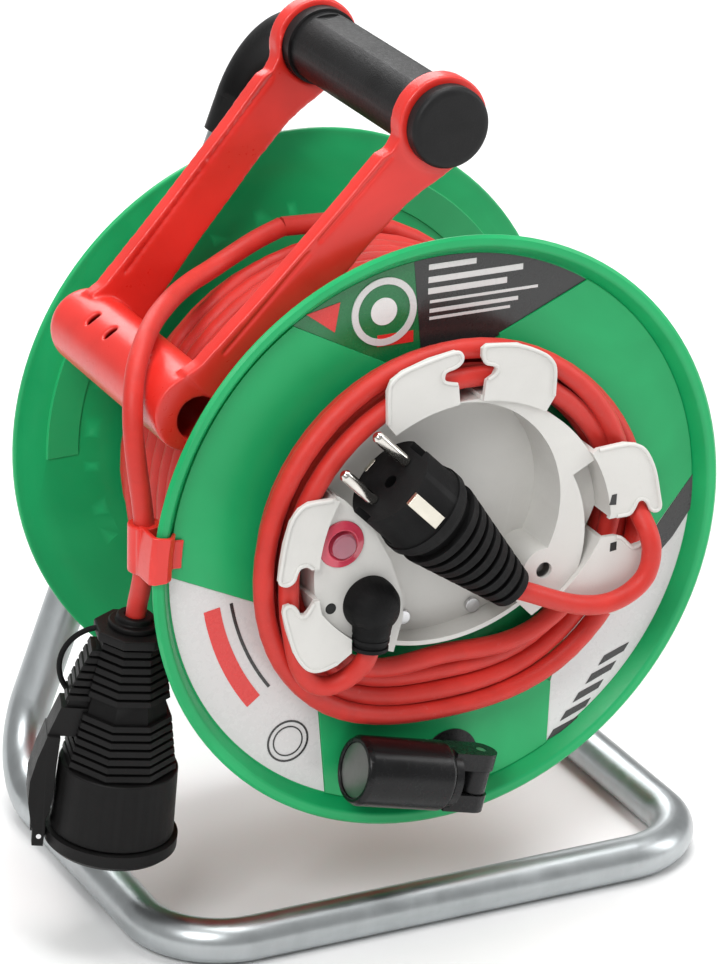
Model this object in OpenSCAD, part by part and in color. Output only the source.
// Extension cord reel on a bent tube stand. Millimetres, +Z up, the drum axis runs along Y,
// the working face of the drum looks to -Y and the floor is z = 0. The lengths below are drawn
// for a 290 mm drum and every piece is brought to its real size by the factor in [Size].

/* [Size] */
// Size of the reel against this drawing, whose lengths are for a drum of 290 mm
size = 0.85; // [0.8:0.01:1]

/* [Drum] */
// Outer radius of both drum flanges
flange_r = 145; // [120:1:160]
// Height of the drum axis above the floor
drum_z = 190; // [180:1:210]
// Radius of the cable core
core_r = 80; // [60:1:95]
// Outer radius of the wound cable
wound_r = 108; // [90:1:118]

/* [Stand] */
// Outer diameter of the steel tube
tube_d = 21; // [18:0.5:22]
// Wall thickness of the steel tube
tube_wall = 1.5; // [1:0.25:2.5]
// Half distance between the two side bars, centre to centre
foot_x = 139; // [130:1:150]
// Y of the front bar centre line
foot_y = -97; // [-105:1:-92]
// Y of the two rising legs
rear_y = 109; // [106:1:116]
// Height of the handle centre line
grip_z = 385; // [375:1:395]

/* [Handle] */
// Radius of the plastic grip
grip_r = 17; // [15:0.5:18]
// Radius of the end cap of the grip
cap_r = 19; // [18:0.5:21]

/* [Cable] */
// Outer diameter of the rubber cable
cable_d = 9.4; // [7:0.1:10]

/* [Crank] */
// Radius of the crank knob
knob_r = 16.5; // [12:0.5:16.5]

/* [Hidden] */
$fn = 48;
tube_r = tube_d / 2;
inner_r = tube_r - tube_wall;
cord_r = cable_d / 2;
// Corners of the bent tube, from the handle end round the floor loop to the end of the right leg.
leg_top = [0, rear_y, grip_z];
left_heel = [-foot_x, rear_y, tube_r];
right_heel = [foot_x, rear_y, tube_r];
leg_lean = foot_x / (grip_z - tube_r);
leg_x = (grip_z - drum_z) * leg_lean;
stub_top = right_heel + (leg_top - right_heel) * 0.66;
frame_path = [[0, -70, grip_z], leg_top, left_heel, [-foot_x, foot_y, tube_r],
              [foot_x, foot_y, tube_r], right_heel, stub_top];
frame_bend = [0, 44, 42, 39, 39, 42, 0];
// Guide bar, parallel to the drum axis near the flange rims.
bar_x = -120;
bar_z = drum_z + 74;
bar_r = 18.3;
arm_along = [-0.7042, 0, -0.71];
arm_up = [-0.71, 0, 0.7042];
rear_slant = 7.5;
// Free run of the main cable, from the winding over the guide bar to the coupler.
run_points = [[-24, 44, 112], [-38, 43, 107.5], [-52, 41, 102], [-65, 36, 98.5], [-79, 26, 98], [-93, 12, 98.5],
              [-106, -4, 99.5], [-118, -20, 100], [-129, -35, 97.5], [-138, -47, 90.5], [-143, -55, 80],
              [-145, -60, 66], [-144.5, -63, 50], [-143, -65, 34], [-142, -65.5, 22], [-142, -65.5, 10],
              [-142, -65, 0], [-141.7, -61.5, -10], [-141.2, -57, -19], [-141.4, -53.7, -31]];
// Supply lead, from the boot under a flap into the coil.
lead_in_points = [[-48.2, -106.9, -36.8], [-49.3, -106.4, -42], [-51.8, -104.4, -47.5], [-57, -101.4, -53.4],
                  [-65, -99.6, -56.5], [-73, -98.8, -54.2], [-78.5, -98.8, -47], [-81.5, -99, -38],
                  [-83.5, -99.2, -28]];
// Supply lead, from the coil through the notch and round to the plug.
lead_out_points = [[84, -97, 30], [87.5, -97.5, 20], [89.5, -98.5, 12], [91, -101.5, 6.5], [91.8, -106, 2],
                   [92.6, -110, -2.5], [93.6, -112.3, -9], [93.2, -112.8, -17], [90.5, -113, -24],
                   [84.5, -113, -29.5], [76.5, -113, -33], [68, -113, -34], [58, -113, -32.6],
                   [49, -113, -29.8], [40, -113, -26], [30, -113, -21.4], [20, -113, -17]];
// Coupler axis, from the cable gland down to the open face.
neck = [-141, -54, drum_z - 26];
down = [-0.0796, 0.0637, -0.9948];
aside = [-0.9388, 0.3308, 0.0964];
// Turn of the eight-sided coupler body, so that one corner looks to the front.
coupler_turn = 17;
// Plug axis, from the cable gland to the pins.
plug_end = [20, -113, drum_z - 17];
plug_dir = unit([-0.71, 0, 0.704]);
// Earthed two-pin mains plug and socket, standard sizes.
pin_r = 2.4 / size;
pin_gap = 9.5 / size;
pin_long = 19 / size;
well_r = 19.75 / size;
// Crank hinge: centre, folded direction of the knob and direction of the pin.
hinge = [12.5, -97, drum_z - 119.5];
fold_dir = [-0.968, 0, 0.251];
pin_dir = [0.251, 0, 0.968];
reset_at = [-61.5, 14];
boot_at = [-47, -17];
neck_at = [boot_at[0], -107.5, drum_z + boot_at[1]];
neck_dir = unit([-0.06, 0.03, -1]);
dish_at = [-6, 19];
screw_r = 70;

module to_size() {
  scale(size)
    children();
}

function unit(v) = v / norm(v);
function polar(r, a) = [r * cos(a), r * sin(a)];
function arc_points(r, a0, a1, n) = [for (i = [0 : n]) polar(r, a0 + (a1 - a0) * i / n)];

// Places children so that their x, y and z axes point along ax, cross(az, ax) and az.
module oriented(at, ax, az) {
  ay = cross(az, ax);
  multmatrix([[ax[0], ay[0], az[0], at[0]], [ax[1], ay[1], az[1], at[1]], [ax[2], ay[2], az[2], at[2]],
              [0, 0, 0, 1]])
    children();
}

module rod_y(x, z, r, y0, y1) {
  translate([x, y0, z])
    rotate([-90, 0, 0])
      cylinder(r = r, h = y1 - y0);
}

module hex_y(x, z, r, y0, y1) {
  translate([x, y0, z])
    rotate([-90, 0, 0])
      cylinder(r = r, h = y1 - y0, $fn = 6);
}

// Revolves [radius, y] points about the drum axis.
module turned(points) {
  translate([0, 0, drum_z])
    rotate([-90, 0, 0])
      rotate_extrude()
        polygon(points);
}

// Extrudes a flat shape drawn in x and height above the drum axis, from y0 to y1.
module slab(y0, y1) {
  translate([0, y1, drum_z])
    rotate([90, 0, 0])
      linear_extrude(y1 - y0)
        children();
}

module ring_shape(r0, r1) {
  difference() {
    circle(r1);
    circle(r0);
  }
}

// A straight bar whose ends e0 and e1 reach 1 mm into the bends they meet.
module rod_leg(p, q, r, e0, e1) {
  along = unit(q - p);
  side = unit(cross(along, [0.3, 0.5, 0.81]));
  oriented(p, side, along) {
    translate([0, 0, e0 * 0.01])
      cylinder(r = r, h = norm(q - p) - (e0 + e1) * 0.01);
    translate([0, 0, -e0])
      cylinder(r = r - 0.04, h = norm(q - p) + e0 + e1);
  }
}

module rod_bend(a, b, c, bend, r) {
  u = unit(a - b);
  v = unit(c - b);
  half = acos(u * v) / 2;
  mid = b + unit(u + v) * bend / sin(half);
  start = b + u * bend / tan(half) - mid;
  stop = b + v * bend / tan(half) - mid;
  oriented(mid, unit(start), unit(cross(start, stop)))
    rotate_extrude(angle = 180 - 2 * half)
      translate([bend, 0])
        circle(r);
}

function bend_trim(path, bend, i) =
  bend[i] == 0 ? 0 : bend[i] / tan(acos(unit(path[i - 1] - path[i]) * unit(path[i + 1] - path[i])) / 2);

// A solid round bar bent along the path, with a bend radius for every corner.
module bent_rod(path, bend, r) {
  for (i = [0 : len(path) - 2]) {
    along = unit(path[i + 1] - path[i]);
    rod_leg(path[i] + along * bend_trim(path, bend, i), path[i + 1] - along * bend_trim(path, bend, i + 1), r,
            bend[i] > 0 ? 1 : 0, bend[i + 1] > 0 ? 1 : 0);
  }
  for (i = [1 : len(path) - 2])
    rod_bend(path[i - 1], path[i], path[i + 1], bend[i], r);
}

// A round cable as one skin swept along the points, given relative to the drum centre.
module swept_cable(points, r) {
  n = len(points);
  sides = 10;
  centres = [for (p = points) p + [0, 0, drum_z]];
  tangents = [for (i = [0 : n - 1]) unit(centres[min(i + 1, n - 1)] - centres[max(i - 1, 0)])];
  rings = [for (i = [0 : n - 1])
             let (t = tangents[i], s = unit(cross(t, [0.4, -0.85, 0.3])), w = cross(t, s))
               for (k = [0 : sides - 1])
                 centres[i] + s * r * cos(360 * k / sides) + w * r * sin(360 * k / sides)];
  walls = [for (i = [0 : n - 2], k = [0 : sides - 1])
             [i * sides + k, i * sides + (k + 1) % sides, (i + 1) * sides + (k + 1) % sides,
              (i + 1) * sides + k]];
  first = [for (k = [0 : sides - 1]) sides - 1 - k];
  last = [for (k = [0 : sides - 1]) (n - 1) * sides + k];
  polyhedron(rings, concat(walls, [first, last]), convexity = 6);
}

// ---- stand

module tube_frame() {
  color([0.72, 0.74, 0.76]) to_size()
    difference() {
      bent_rod(frame_path, frame_bend, tube_r);
      bent_rod(frame_path, frame_bend, inner_r);
      for (s = [-1, 1])
        rod_y(s * leg_x, drum_z, 3.1, rear_y - 14, rear_y + 14);
    }
}

module tube_end_plug() {
  along = unit(leg_top - right_heel);
  color([0.08, 0.08, 0.08]) to_size()
    oriented(stub_top, unit(cross(along, [0, 1, 0])), along) {
      cylinder(r = tube_r, h = 3);
      translate([0, 0, -12])
        cylinder(r = inner_r - 0.05, h = 12.5);
    }
}

module hub_plate() {
  color([0.62, 0.64, 0.66]) to_size()
    slab(rear_y - 13.6, rear_y - 10.6)
      difference() {
        union() {
          polygon([[-86, -15], [-40, -24], [40, -24], [86, -15], [84, 15], [40, 26], [-40, 26], [-84, 15]]);
          circle(34);
        }
        circle(7.05);
        for (s = [-1, 1])
          translate([s * leg_x, 0])
            circle(3.1);
      }
}

module hub_bolts() {
  color([0.7, 0.7, 0.72]) to_size()
    for (s = [-1, 1]) {
      rod_y(s * leg_x, drum_z, 3, rear_y - 16, rear_y + 13.5);
      hex_y(s * leg_x, drum_z, 5.5, rear_y - 17.6, rear_y - 13.6);
      hex_y(s * leg_x, drum_z, 5.5, rear_y + 10.6, rear_y + 14);
    }
}

module axle() {
  color([0.7, 0.72, 0.74]) to_size() {
    rod_y(0, drum_z, 7, -67, rear_y + 1);
    rod_y(0, drum_z, 11, rear_y - 17.5, rear_y - 13.6);
  }
}

module axle_nuts() {
  color([0.66, 0.68, 0.7]) to_size()
    difference() {
      union() {
        rod_y(0, drum_z, 14, rear_y - 10.6, rear_y - 8.6);
        hex_y(0, drum_z, 11.5, rear_y - 8.6, rear_y - 1);
        rod_y(0, drum_z, 14, -61.4, -59.4);
        hex_y(0, drum_z, 11.5, -66.4, -61.4);
      }
      rod_y(0, drum_z, 7.02, -70, rear_y + 4);
    }
}

// ---- handle

module grip() {
  color([0.13, 0.13, 0.14]) to_size()
    difference() {
      union() {
        rod_y(0, grip_z, grip_r, -70.5, 52);
        rod_y(0, grip_z, grip_r + 1.5, 52, 58.5);
      }
      rod_y(0, grip_z, tube_r + 0.03, -71, 59);
      // Flat on top and four finger hollows underneath.
      translate([-20, -57, grip_z + grip_r - 1.2])
        cube([40, 105, 10]);
      for (i = [0 : 3])
        translate([0, -42 + i * 24, grip_z - grip_r - 17])
          rotate([0, 90, 0])
            cylinder(r = 20, h = 50, center = true);
    }
}

module grip_cap() {
  color([0.1, 0.1, 0.1]) to_size() {
    translate([0, 0, grip_z])
      rotate([-90, 0, 0])
        rotate_extrude()
          polygon([[0, -80.4], [cap_r - 4, -80.2], [cap_r - 1, -79.4], [cap_r, -78], [cap_r, -71.6], [0, -71.6]]);
    rod_y(0, grip_z, inner_r - 0.05, -71.7, -52);
  }
}

module bend_sleeve() {
  low = leg_top + unit(left_heel - leg_top) * 62;
  path = [[0, 68.2, grip_z], leg_top, low];
  color([0.12, 0.12, 0.12]) to_size()
    difference() {
      bent_rod(path, [0, 44, 0], tube_r + 2.2);
      bent_rod(path, [0, 44, 0], tube_r + 0.03);
      translate([-30, 60, grip_z - 30])
        cube([60, 8.2, 60]);
    }
}

// ---- cable guide on the handle

// Outline of one arm: distance from the ring centre along the arm and the two edges either side of it.
module arm_shape(length) {
  polygon([[2, 19], [12, 16.5], [19, 12], [25, 10.5], [30, 12.5], [60, 12], [110, 12.5], [length - 8, 14],
           [length, 16.5], [length, -16.5], [length - 8, -15], [110, -13], [60, -12.5], [38, -13.5],
           [28, -15.5], [18, -18.5], [8, -20.5], [2, -20.5]]);
}

module guide_arm(origin, slant, length, thick) {
  along = [arm_along[0] * cos(slant), -sin(slant), arm_along[2] * cos(slant)];
  oriented(origin, along, cross(along, arm_up))
    difference() {
      translate([0, 0, -thick / 2])
        linear_extrude(thick)
          arm_shape(length);
      // Groove along the upper edge of the front face.
      translate([26, 8, -thick / 2 - 0.6])
        cube([length - 44, 1.8, 2]);
    }
}

module cable_guide() {
  color([0.86, 0.14, 0.12]) to_size()
    difference() {
      union() {
        rod_y(0, grip_z, 22, -71.3, -61.3);
        rod_y(0, grip_z, 21.2, 59, 68);
        guide_arm([0, -66, grip_z], 0, 160, 9);
        guide_arm([0, 63.3, grip_z], rear_slant, 161, 9);
        rod_y(bar_x, bar_z, bar_r, -69, 51);
        translate([bar_x, 51, bar_z])
          rotate([-90, 0, 0])
            rotate_extrude()
              polygon([[0, 0], [bar_r, 0], [bar_r - 1, 3.5], [bar_r - 4, 6], [bar_r - 9, 7.6], [0, 8]]);
      }
      rod_y(0, grip_z, grip_r + 0.05, -75, -55);
      rod_y(0, grip_z, grip_r + 1.9, 45, 58.9);
      rod_y(0, grip_z, tube_r + 0.03, 50, 75);
      rod_y(bar_x, bar_z, bar_r - 2.6, -62, 48);
      rod_y(bar_x + 3, bar_z - 3, bar_r - 8, -75, -61);
      // Two drain slots on the outer side of the bar.
      for (i = [0, 1])
        translate([bar_x, 22 - i * 20, bar_z])
          rotate([0, -50, 0])
            translate([5, 0, 0])
              linear_extrude(40, center = true)
                slot_shape();
    }
}

module slot_shape() {
  for (s = [-1.8, 1.8])
    translate([s, 0])
      circle(2);
  square([3.6, 4], center = true);
}

// ---- main cable, clip and coupler

// Part of a ring about the drum axis, from angle a0 over the given sweep.
module turned_part(points, a0, sweep) {
  translate([0, 0, drum_z])
    rotate([90, 0, 0])
      rotate([0, 0, a0])
        rotate_extrude(angle = sweep)
          polygon([for (p = points) [p[0], -p[1]]]);
}

module cable_clip() {
  lip = flange_r;
  color([0.87, 0.13, 0.11]) to_size()
    difference() {
      union() {
        turned_part([[lip - 9.7, -77.7], [lip - 6.5, -82.8], [lip - 4.2, -84.1], [lip - 1, -84.1],
                     [lip + 0.6, -82.8], [lip + 0.6, -69], [lip + 3, -69], [lip + 3, -84.6], [lip + 1, -86.2],
                     [lip - 5.2, -86.2], [lip - 8.4, -83.6], [lip - 10.8, -78.9], [lip - 10.8, -77.7]],
                    170.6, 8.8);
        turned_part([[lip - 15.5, -78.9], [lip - 15.5, -77.7], [lip - 10, -77.7], [lip - 10, -78.9]],
                    172, 6);
        translate([-142, -65.5, drum_z + 1])
          cylinder(r = 7.5, h = 22.5);
        translate([-148, -72, drum_z + 1])
          cube([6, 5, 22.5]);
      }
      translate([-142, -65.5, drum_z])
        cylinder(r = cord_r - 0.1, h = 30);
      // Keeps the hook clear of the flange rim.
      turned_part([[lip - 12, -73], [lip - 9.3, -77], [lip - 6.1, -82.5], [lip - 4, -84.05], [lip - 1, -84.05],
                   [lip + 0.55, -82.8], [lip + 0.55, -73]], 168, 14);
    }
}

module cable_run() {
  color([0.85, 0.12, 0.1]) to_size()
    swept_cable(run_points, cord_r);
}

module at_coupler() {
  oriented(neck, aside, down)
    children();
}

module coupler_collar() {
  color([0.12, 0.12, 0.12]) to_size()
    at_coupler()
      difference() {
        union() {
          cylinder(r = 8.5, h = 5);
          translate([0, 0, 3])
            cylinder(r = 12, h = 3);
          rotate([0, 0, coupler_turn])
            translate([0, 0, 6])
              cylinder(r = 18.8, h = 4.6, $fn = 8);
        }
        translate([0, 0, -1])
          cylinder(r = cord_r + 0.02, h = 6);
      }
}

function coupler_core(z) = 13.4 + (z - 12) * 0.185;
function coupler_rib(z) = [[coupler_core(z), z], [coupler_core(z) + 2.2, z], [coupler_core(z) + 2.7, z + 2.5],
                           [coupler_core(z + 2.5), z + 2.5]];

// Grip ribs in two groups with a plain thumb zone between them, on an eight-sided core. A smooth
// root on the outer side rises out of the ribs and runs on as the hinge strap.
module coupler_body() {
  color([0.11, 0.11, 0.11]) to_size()
    at_coupler() {
      rotate([0, 0, coupler_turn])
        rotate_extrude($fn = 8)
          polygon(concat([[0, 10.65], [13.4, 10.65]],
                         [for (i = [0 : 15]) if (i < 7 || i > 8) each coupler_rib(12.4 + i * 3.9)],
                         [[25, 75], [0, 75]]));
      // Root of the strap: ribbed like the body as far as the thumb zone, then smooth.
      coupler_root(-2.2, 11, 14, 60.5);
      coupler_root(0, 15, 46, 60.5);
      for (i = [1 : 7])
        coupler_root(0, 15, 12.4 + i * 3.9, 14.9 + i * 3.9);
    }
}

// A slice of the strap's root between two heights, shrunk by grow, as wide as asked.
module coupler_root(grow, wide, z0, z1) {
  intersection() {
    rotate([90, 0, 0])
      linear_extrude(wide, center = true)
        offset(delta = grow)
          polygon([[0, 13], [17.6, 14], [22.4, 25], [26.4, 37], [30.4, 48], [34.8, 61], [34.8, 63], [0, 63]]);
    translate([10, -20, z0])
      cube([30, 40, z1 - z0]);
  }
}

// Round cup that takes the insert.
module coupler_cup() {
  color([0.11, 0.11, 0.11]) to_size()
    at_coupler()
      difference() {
        translate([0, 0, 75.02])
          cylinder(r1 = 27.6, r2 = 28.8, h = 33.6);
        translate([0, 0, 79])
          cylinder(r = 25, h = 40);
      }
}

// Rubber arm that carries the hinge of the cap, along the outside of the body.
module coupler_strap() {
  color([0.1, 0.1, 0.1]) to_size()
    at_coupler()
      difference() {
        rotate([90, 0, 0])
          linear_extrude(19, center = true)
            polygon([[28.7, 60.52], [34.8, 60.52], [38.2, 72], [40.6, 84], [40.4, 95], [38.8, 103], [37.2, 109],
                     [36.8, 117], [31.6, 117], [31.3, 108.4], [31.8, 104], [30, 98], [29.2, 91], [29.2, 76]]);
        // Slot for the hinge barrel of the cap.
        translate([20, -5, 107.4])
          cube([20, 10, 10]);
        translate([34, 0, 112])
          rotate([90, 0, 0])
            cylinder(r = 1.21, h = 24, center = true);
      }
}

module coupler_tether() {
  color([0.09, 0.09, 0.09]) to_size()
    at_coupler()
      translate([12.4, 0, 27.2])
        rotate([90, 0, 0])
          rotate([0, 0, -80])
            rotate_extrude(angle = 118)
              translate([19.6, 0])
                circle(1.3);
}

module coupler_insert() {
  color([0.16, 0.16, 0.17]) to_size()
    at_coupler()
      difference() {
        translate([0, 0, 79.02])
          cylinder(r = 24.95, h = 28.6);
        translate([0, 0, 88])
          cylinder(r = well_r, h = 21);
        for (s = [-1, 1])
          translate([0, s * pin_gap, 80.6])
            cylinder(r = 4, h = 10);
        for (s = [-1, 1])
          translate([s * 22.2 - 3, -3.8, 86])
            cube([6, 7.6, 24]);
      }
}

module coupler_contacts() {
  color([0.8, 0.66, 0.3]) to_size()
    at_coupler()
      for (s = [-1, 1])
        translate([0, s * pin_gap, 80.6])
          difference() {
            cylinder(r = 3.9, h = 7.1);
            translate([0, 0, 1])
              cylinder(r = pin_r + 0.1, h = 10);
          }
}

module coupler_earth() {
  color([0.75, 0.76, 0.78]) to_size()
    at_coupler()
      for (s = [-1, 1])
        translate([s * 22.8 - 0.7, -3.1, 86])
          cube([1.4, 6.2, 19]);
}

module cap_pin() {
  color([0.6, 0.6, 0.6]) to_size()
    at_coupler()
      translate([34, 0, 112])
        rotate([90, 0, 0])
          cylinder(r = 1.2, h = 19.2, center = true);
}

module coupler_cap() {
  color([0.1, 0.1, 0.1]) to_size()
    at_coupler()
      difference() {
        union() {
          translate([0, 0, 109.4])
            cylinder(r = 31, h = 5.8);
          translate([0, 0, 115.2])
            cylinder(r1 = 31, r2 = 28.5, h = 2.4);
          translate([28, -4.6, 110.4])
            cube([6, 9.2, 3.6]);
          translate([34, 0, 112])
            rotate([90, 0, 0])
              cylinder(r = 2.4, h = 9.2, center = true);
        }
        translate([0, 0, 109])
          cylinder(r = 26.5, h = 4.6);
        translate([34, 0, 112])
          rotate([90, 0, 0])
            cylinder(r = 1.27, h = 20, center = true);
      }
}

// ---- drum

// Flat areas between the label fields.
module panel_shapes() {
  intersection() {
    ring_shape(85, flange_r - 10.4);
    union() {
      polygon([[-76, 112], [-30, 88], [0, 60], [-60, -34], [-89, -21], [-140, 3], [-170, 60], [-130, 120]]);
      polygon([[-60, -66], [-54, -127], [-40, -160], [40, -160], [62, -122], [63, -88], [0, -40]]);
      polygon([[74, 113], [29, 93], [30, 40], [112, -22], [139, 12], [160, 60], [120, 130]]);
    }
  }
}

module front_flange() {
  color([0.1, 0.66, 0.36]) to_size()
    difference() {
      union() {
        turned([[10, -56], [10, -42], [18, -42], [18, -53.5], [40, -53.5], [40, -73.5],
                [flange_r - 8.8, -73.5], [flange_r - 5.5, -79], [flange_r - 1.6, -80.4], [flange_r, -81.6],
                [flange_r, -82.4], [flange_r - 1.4, -83.6], [flange_r - 4, -83.6], [flange_r - 6, -82.4],
                [flange_r - 10, -76], [37.5, -76], [37.5, -56]]);
        slab(-77.2, -75.5)
          panel_shapes();
      }
      rod_y(boot_at[0], drum_z + boot_at[1], 6, -80, -70);
      for (s = [-1, 1])
        rod_y(18 * s, drum_z - 39, 2.2, -80, -70);
    }
}

module rear_flange() {
  color([0.1, 0.64, 0.35]) to_size()
    difference() {
      union() {
        turned([[10, 70], [16, 70], [16, 74], [103.5, 74], [111.5, 78], [129, 78.4], [136, 79.4],
                [flange_r - 4.5, 81], [flange_r - 1.5, 81.2], [flange_r, 82], [flange_r, 84],
                [flange_r - 1.2, 85], [flange_r - 5.5, 85], [135, 82.4], [129, 81], [110.5, 80.6],
                [102.5, 76.6], [16, 76.6], [16, 90], [10, 90]]);
        slab(77.2, 78.9)
          intersection() {
            ring_shape(113.4, 129.5);
            for (a = [60, 180, 300])
              polygon([[0, 0], polar(200, a - 38), polar(220, a), polar(200, a + 1)]);
          }
      }
      for (a = [30 : 60 : 330])
        rod_y(screw_r * cos(a), drum_z + screw_r * sin(a), 2.1, 70, 80);
    }
}

module drum_core() {
  color([0.1, 0.5, 0.3]) to_size()
    difference() {
      union() {
        rod_y(0, drum_z, core_r, -73.5, 74);
      }
      rod_y(0, drum_z, core_r - 2.5, -80, 80);
    }
  color([0.1, 0.5, 0.3]) to_size()
    for (a = [30 : 60 : 330])
      translate([0, 0, drum_z])
        rotate([0, -a, 0])
          difference() {
            union() {
              rod_y(screw_r, 0, 5.5, 44, 74);
              translate([screw_r + 3.5, 44.5, -2.4])
                cube([core_r - 5 - screw_r, 29, 4.8]);
            }
            rod_y(screw_r, 0, 2.05, 58, 80);
          }
}

module drum_bushes() {
  color([0.85, 0.83, 0.76]) to_size()
    difference() {
      union() {
        rod_y(0, drum_z, 9.95, 68.5, 90);
        rod_y(0, drum_z, 14, 90, 91);
        rod_y(0, drum_z, 9.95, -56, -41);
        rod_y(0, drum_z, 14, -58, -56);
      }
      rod_y(0, drum_z, 7.06, -80, 100);
    }
}

module flange_screws() {
  color([0.7, 0.7, 0.72]) to_size()
    for (a = [30 : 60 : 330]) {
      rod_y(screw_r * cos(a), drum_z + screw_r * sin(a), 2, 60, 77);
      rod_y(screw_r * cos(a), drum_z + screw_r * sin(a), 4, 76.6, 79);
    }
}

module cable_winding() {
  color([0.85, 0.12, 0.1]) to_size()
    turned([[core_r + 0.1, -72.5], [wound_r - 12, -72.5], [wound_r - 4, -66], [wound_r, -56], [wound_r, 42],
            [wound_r - 4, 52], [wound_r - 12, 62], [wound_r - 20, 71], [core_r + 0.1, 73]]);
}

// ---- storage hub for the supply lead

module hub_outline(r, low) {
  intersection() {
    circle(r);
    translate([-6, 36])
      circle(low);
  }
}

module crescent_shape() {
  difference() {
    intersection() {
      hub_outline(74.6, 85);
      union() {
        intersection() {
          circle(74.6);
          polygon([[0, 0], polar(120, 28), polar(150, 60), polar(120, 95)]);
        }
        intersection() {
          circle(62.5);
          polygon([[0, 0], polar(120, -46), polar(150, -5), polar(120, 32)]);
        }
        translate([42, -16])
          circle(11);
      }
    }
    difference() {
      translate(dish_at)
        circle(55);
      translate([42, -16])
        circle(11);
    }
  }
}

module platform_shape() {
  intersection() {
    hub_outline(74.6, 85);
    polygon([[-70, 42], [-60, 35], [-46, 20], [-36, 1], [-30, -17], [-29, -27], [-33, -42], [-40, -70],
             [-100, -70], [-100, 42]]);
  }
}

module storage_hub() {
  color([0.82, 0.81, 0.79]) to_size()
    difference() {
      union() {
        slab(-78.6, -76.02)
          hub_outline(74.6, 85);
        slab(-92, -78)
          difference() {
            hub_outline(74.6, 85);
            hub_outline(72.4, 82.8);
          }
        // Shelf between the hub wall and the raised ring on the right.
        slab(-92, -89.8)
          intersection() {
            difference() {
              hub_outline(74.6, 85);
              circle(61);
            }
            polygon([[0, 0], polar(120, -46), polar(150, -5), polar(120, 32)]);
          }
        slab(-104, -101.6)
          crescent_shape();
        slab(-102, -78)
          intersection() {
            crescent_shape();
            union() {
              translate(dish_at)
                circle(57.2);
              translate([42, -16])
                ring_shape(8.8, 11);
              ring_shape(60.4, 62.5);
              intersection() {
                ring_shape(72.4, 74.6);
                polygon([[0, 0], polar(120, 28), polar(150, 60), polar(120, 95)]);
              }
            }
          }
        slab(-102, -99.6)
          platform_shape();
        slab(-100, -78)
          difference() {
            platform_shape();
            translate([-2.4, 0])
              platform_shape();
          }
        slab(-100, -78)
          intersection() {
            platform_shape();
            difference() {
              hub_outline(74.6, 85);
              hub_outline(72.4, 82.8);
            }
          }
      }
      rod_y(42, drum_z - 16, 4, -110, -78.62);
      rod_y(boot_at[0], drum_z + boot_at[1], 6, -110, -70);
      rod_y(reset_at[0], drum_z + reset_at[1], 4.6, -110, -97);
      for (s = [-1, 1])
        rod_y(18 * s, drum_z - 39, 2.2, -80, -70);
    }
}

// Flaps that hold the coil of supply lead: outline beyond the hub, then the two angles of the root.
flap_edges = [
  [[[-42, 70], [-42.5, 86], [-40.5, 91], [-35, 94.5], [-22, 98.5], [-9, 100.5], [-5.5, 99], [-5, 96],
    [-7.5, 93.5], [-13, 91.8], [-14.3, 88.5], [-13, 85.6], [-7, 84]], 94, 118],
  [[[7, 84], [10.5, 86], [11.8, 88.5], [10.5, 91], [6, 92.8], [4.5, 95.5], [4.5, 99.6], [7, 101.3], [23, 99.4],
    [36, 93], [41, 88.4], [42.8, 83], [42.4, 71]], 60, 86],
  [[[66, 41.4], [80, 42.2], [87, 40.6], [92, 36.5], [97, 27], [100, 14], [101, 7], [99, 5], [96, 6], [94, 10],
    [91, 12], [88, 11.5], [86, 8], [83.5, 5.6], [77, 5.6]], 5, 32],
  [[[77, -3.4], [80, -4.4], [83.5, -7.6], [87, -10.2], [91.5, -9.4], [95.5, -5.8], [98.6, -5.6], [99.4, -9],
    [97, -18], [92, -29], [86, -37], [80, -42], [76, -42.6], [71, -38.6]], -29, -3],
  [[[-68, 38.8], [-80, 38.8], [-85, 36.4], [-89, 31], [-92, 21], [-93.5, 12], [-94.4, 3], [-93, 0.6], [-90, 0],
    [-87.2, 1.6], [-86, 4.6], [-84, 7.4], [-80, 8], [-77, 6]], 150, 176],
  [[[-76.6, -9.8], [-78.6, -13], [-81, -15.4], [-84, -14.8], [-86, -11.4], [-88.5, -9.2], [-91.4, -9.6],
    [-92, -13], [-90, -22], [-86, -34], [-81, -41.6], [-76, -44.8], [-70, -44.8], [-64, -43]], -146, -173]];

module storage_flaps() {
  color([0.87, 0.86, 0.84]) to_size()
    difference() {
      for (f = flap_edges) {
        edge = f[0];
        near = norm(edge[0] - polar(75, f[1])) > norm(edge[0] - polar(75, f[2]));
        root = near ? arc_points(57, f[1], f[2], 8) : arc_points(57, f[2], f[1], 8);
        slab(-107, -104.6)
          difference() {
            polygon(concat(edge, root));
            hub_outline(74.7, 85.1);
          }
        slab(-105, -77.3)
          intersection() {
            difference() {
              hub_outline(77, 87.3);
              hub_outline(74.7, 85.1);
            }
            polygon([[0, 0], polar(160, f[1]), polar(160, f[2])]);
          }
      }
      // Room for the neck of the boot.
      oriented(neck_at, [0, 1, 0], neck_dir)
        translate([0, 0, -2])
          cylinder(r1 = 10.9, r2 = 8.9, h = 26);
    }
}

module hub_screws() {
  color([0.3, 0.3, 0.32]) to_size() {
    for (s = [-1, 1]) {
      rod_y(18 * s, drum_z - 39, 2, -78.6, -66);
      rod_y(18 * s, drum_z - 39, 3.6, -80.8, -78.6);
    }
    rod_y(42, drum_z - 16, 3.6, -97.6, -78.6);
  }
}

module thermal_switch() {
  color([0.2, 0.2, 0.22]) to_size() {
    translate([reset_at[0] - 4.5, -87.5, drum_z + reset_at[1] - 9])
      cube([15, 8.88, 18]);
    rod_y(reset_at[0], drum_z + reset_at[1], 3, -89, -87);
  }
}

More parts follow.
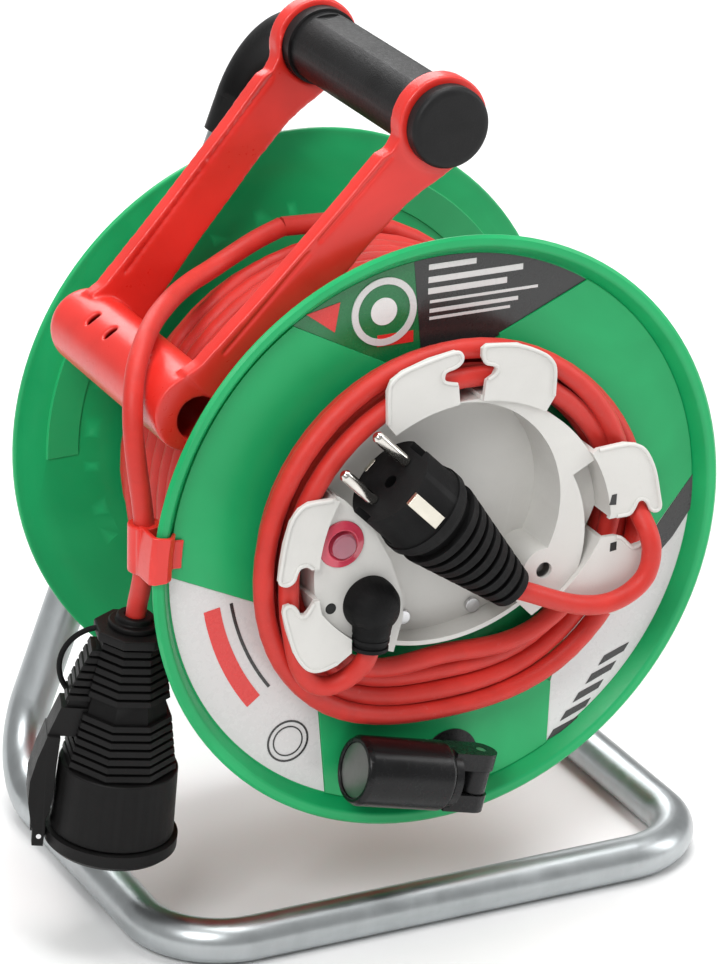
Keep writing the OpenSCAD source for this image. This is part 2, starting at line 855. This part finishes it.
module terminal_block() {
  color([0.9, 0.9, 0.88]) to_size()
    for (i = [0 : 2])
      difference() {
        translate([-62 + i * 9, -73.4, drum_z + 26])
          cube([8.9, 20, 14]);
        rod_y(-57.5 + i * 9, drum_z + 33, 2.6, -60, -50);
      }
}

module reset_bezel() {
  color([0.85, 0.3, 0.36]) to_size()
    translate([reset_at[0], 0, drum_z + reset_at[1]])
      rotate([-90, 0, 0])
        rotate_extrude()
          polygon([[6.5, -103.4], [7.4, -104.2], [8.6, -103.6], [11, -103], [11.4, -102.05], [4.5, -102.05],
                   [4.5, -99], [3.4, -99], [3.4, -102.6], [6.5, -102.6]]);
}

module reset_button() {
  color([0.62, 0.36, 0.44]) to_size() {
    translate([reset_at[0], 0, drum_z + reset_at[1]])
      rotate([-90, 0, 0])
        rotate_extrude()
          polygon([[0, -106.6], [5, -106.3], [6, -105.6], [6, -105.3], [3, -105.3], [3, -91.4], [0, -91.4]]);
  }
}

module cord_boot() {
  color([0.1, 0.1, 0.1]) to_size() {
    difference() {
      union() {
        translate([boot_at[0], 0, drum_z + boot_at[1]])
          rotate([-90, 0, 0])
            rotate_extrude()
              polygon([[0, -118.5], [5, -117.8], [9.5, -115], [12.2, -110], [13, -105], [13, -102.1], [0, -102.1]]);
        oriented(neck_at, [0, 1, 0], neck_dir)
          cylinder(r1 = 10.5, r2 = 7.6, h = 20);
        for (h = [11, 15, 19])
          oriented(neck_at + neck_dir * h, [0, 1, 0], neck_dir)
            cylinder(r = 9.4 - h * 0.05, h = 1.8);
      }
      translate([boot_at[0] - 25, -102.05, drum_z + boot_at[1] - 60])
        cube([50, 20, 90]);
      oriented(neck_at + neck_dir * 19.6, [0, 1, 0], neck_dir)
        cylinder(r = cord_r + 0.02, h = 4);
    }
    rod_y(boot_at[0], drum_z + boot_at[1], 5.9, -104, -68);
  }
}

module supply_coil() {
  color([0.87, 0.13, 0.11]) to_size()
    slab(-103.8, -77.7)
      difference() {
        translate([3, 3])
          circle(96.5);
        hub_outline(77.4, 87.6);
      }
}

module lead_in() {
  color([0.87, 0.13, 0.11]) to_size()
    swept_cable(lead_in_points, cord_r);
}

module lead_out() {
  color([0.87, 0.13, 0.11]) to_size()
    swept_cable(lead_out_points, cord_r);
}

module at_plug() {
  oriented(plug_end, [0, -1, 0], plug_dir)
    children();
}

module plug_relief() {
  color([0.11, 0.11, 0.11]) to_size()
    at_plug()
      rotate_extrude()
        polygon(concat([[cord_r + 0.02, 0], [cord_r + 0.02, 0.4], [0, 0.4], [0, 60], [18.6, 60]],
                       [for (i = [7 : -1 : 0]) each rib_profile(i * 7.2)]));
}

// One broad rib of the relief and the groove above it, from the top down.
function rib_profile(z) = [[8.6 + (z + 4.4) / 6, z + 4.4], [11.2 + z * 0.2, z + 4.4],
                           [10.4 + z * 0.2, z], [8.4 + z / 6, z]];

module plug_body() {
  color([0.1, 0.1, 0.1]) to_size()
    at_plug()
      difference() {
        rotate_extrude()
          polygon([[0, 60.02], [21, 60.02], [22.4, 63], [22.4, 67], [21.6, 67], [21.6, 89], [0, 89]]);
        for (s = [-1, 1])
          translate([0, s * pin_gap, 78])
            cylinder(r = pin_r - 0.53, h = 20);
        // Earth strips at front and back, guide grooves at both sides.
        for (s = [-1, 1])
          translate([s * 21.3 - 1.5, -3.4, 69])
            cube([3, 6.8, 30]);
        for (s = [-1, 1])
          translate([-6, s * 20.5 - 3.2, 70])
            cube([12, 6.4, 30]);
        translate([0, 0, 82])
          cylinder(r = 3.3, h = 20);
      }
}

module plug_pins() {
  color([0.8, 0.8, 0.78]) to_size()
    at_plug()
      for (s = [-1, 1])
        translate([0, s * pin_gap, 0])
          rotate_extrude()
            polygon([[0, 78.1], [pin_r - 0.55, 78.1], [pin_r - 0.55, 89.5], [pin_r, 89.5],
                     [pin_r, 87.3 + pin_long], [pin_r - 1.3, 89 + pin_long], [0, 89 + pin_long]]);
}

module plug_earth() {
  color([0.85, 0.84, 0.78]) to_size()
    at_plug()
      for (s = [-1, 1])
        translate([s * 21.2 - 1.2, -3.3, 69.1])
          cube([2.4, 6.6, 19.8]);
}

// ---- printed fields, without any lettering

module field_top() {
  polygon([[-16, 140], [-10.5, 88], [20, 88], [74, 113], [100, 150], [0, 160]]);
}

module label_top() {
  color([0.16, 0.17, 0.17]) to_size()
    slab(-76.35, -76.01)
      intersection() {
        ring_shape(86, flange_r - 10.6);
        difference() {
          field_top();
          panel_shapes();
        }
      }
}

module label_green() {
  color([0.04, 0.42, 0.2]) to_size()
    slab(-76.35, -76.01)
      intersection() {
        ring_shape(86, flange_r - 10.6);
        difference() {
          polygon([[-75.7, 112], [-29.7, 88], [-10.6, 86], [-16.1, 140], [-60, 150]]);
          panel_shapes();
        }
      }
}

module label_emblem() {
  color([0.8, 0.8, 0.78]) to_size()
    slab(-77, -76.36)
      translate([-30, 112])
        ring_shape(13, 16.2);
}

module label_right() {
  color([0.8, 0.8, 0.79]) to_size()
    slab(-76.35, -76.01)
      difference() {
        intersection() {
          ring_shape(86, flange_r - 10.6);
          polygon([[63.2, -88], [62.2, -122], [62, -160], [170, -100], [170, 11], [138.6, 11.6], [112, -21.6],
                   [90, 0]]);
        }
        panel_shapes();
      }
}

module label_left() {
  color([0.79, 0.78, 0.76]) to_size()
    slab(-76.35, -76.01)
      difference() {
        intersection() {
          ring_shape(86, flange_r - 10.6);
          polygon([[-140, 2.6], [-89, -21.2], [-60.2, -34.2], [-60.2, -66.2], [-54.2, -127.2], [-100, -150],
                   [-170, -60]]);
        }
        panel_shapes();
      }
}

// ---- folding crank

module at_hinge() {
  oriented(hinge, fold_dir, -pin_dir)
    children();
}

// In the hinge frame x is the folded knob direction, z the pin and y points to the drum.
module crank_base() {
  color([0.1, 0.1, 0.1]) to_size() {
    rod_y(10, drum_z - 117, 14.5, -77.9, -77.3);
    at_hinge()
      difference() {
        union() {
          translate([-7, 0, -5.8])
            cube([14, 19.65, 11.6]);
          cylinder(r = 7, h = 11.6, center = true);
        }
        cylinder(r = 2.55, h = 20, center = true);
      }
  }
}

module crank_pin() {
  color([0.65, 0.66, 0.68]) to_size()
    at_hinge()
      cylinder(r = 2.5, h = 29, center = true);
}

module crank_fork() {
  color([0.11, 0.11, 0.12]) to_size()
    at_hinge()
      difference() {
        union() {
          for (s = [-1, 1])
            translate([0, 0, s * 10.4]) {
              cylinder(r = 8, h = 8.4, center = true);
              translate([0, -8, -4.2])
                cube([16.5, 16, 8.4]);
            }
          translate([13.5, 0, 0])
            rotate([0, 90, 0])
              cylinder(r = 14.8, h = 4);
          translate([17, 0, 0])
            rotate([0, 90, 0])
              cylinder(r = 5, h = 42);
        }
        translate([0, 0, 0])
          cylinder(r = 2.56, h = 40, center = true);
        cylinder(r = 9.6, h = 12.2, center = true);
      }
}

module crank_knob() {
  color([0.13, 0.13, 0.14]) to_size()
    at_hinge()
      rotate([0, 90, 0])
        rotate_extrude()
          polygon([[5.05, 18], [knob_r - 1, 18], [knob_r, 19.5], [knob_r, 56], [knob_r + 0.0, 62],
                   [knob_r - 1.5, 64.6], [13, 64.6], [13, 62.4], [0, 62.4], [0, 60], [5.05, 60]]);
}

module knob_disc() {
  color([0.7, 0.7, 0.7]) to_size()
    at_hinge()
      translate([62.4, 0, 0])
        rotate([0, 90, 0])
          cylinder(r = 12.9, h = 1.2);
}

tube_frame();
tube_end_plug();
hub_plate();
hub_bolts();
axle();
axle_nuts();
grip();
grip_cap();
bend_sleeve();
cable_guide();
cable_clip();
cable_run();
coupler_body();
coupler_cup();
coupler_collar();
coupler_strap();
coupler_tether();
coupler_insert();
coupler_contacts();
coupler_earth();
coupler_cap();
cap_pin();
front_flange();
rear_flange();
drum_core();
drum_bushes();
flange_screws();
cable_winding();
storage_hub();
storage_flaps();
hub_screws();
thermal_switch();
terminal_block();
reset_bezel();
reset_button();
cord_boot();
supply_coil();
lead_in();
lead_out();
plug_body();
plug_relief();
plug_pins();
plug_earth();
label_top();
label_green();
label_emblem();
label_right();
label_left();
crank_base();
crank_pin();
crank_fork();
crank_knob();
knob_disc();
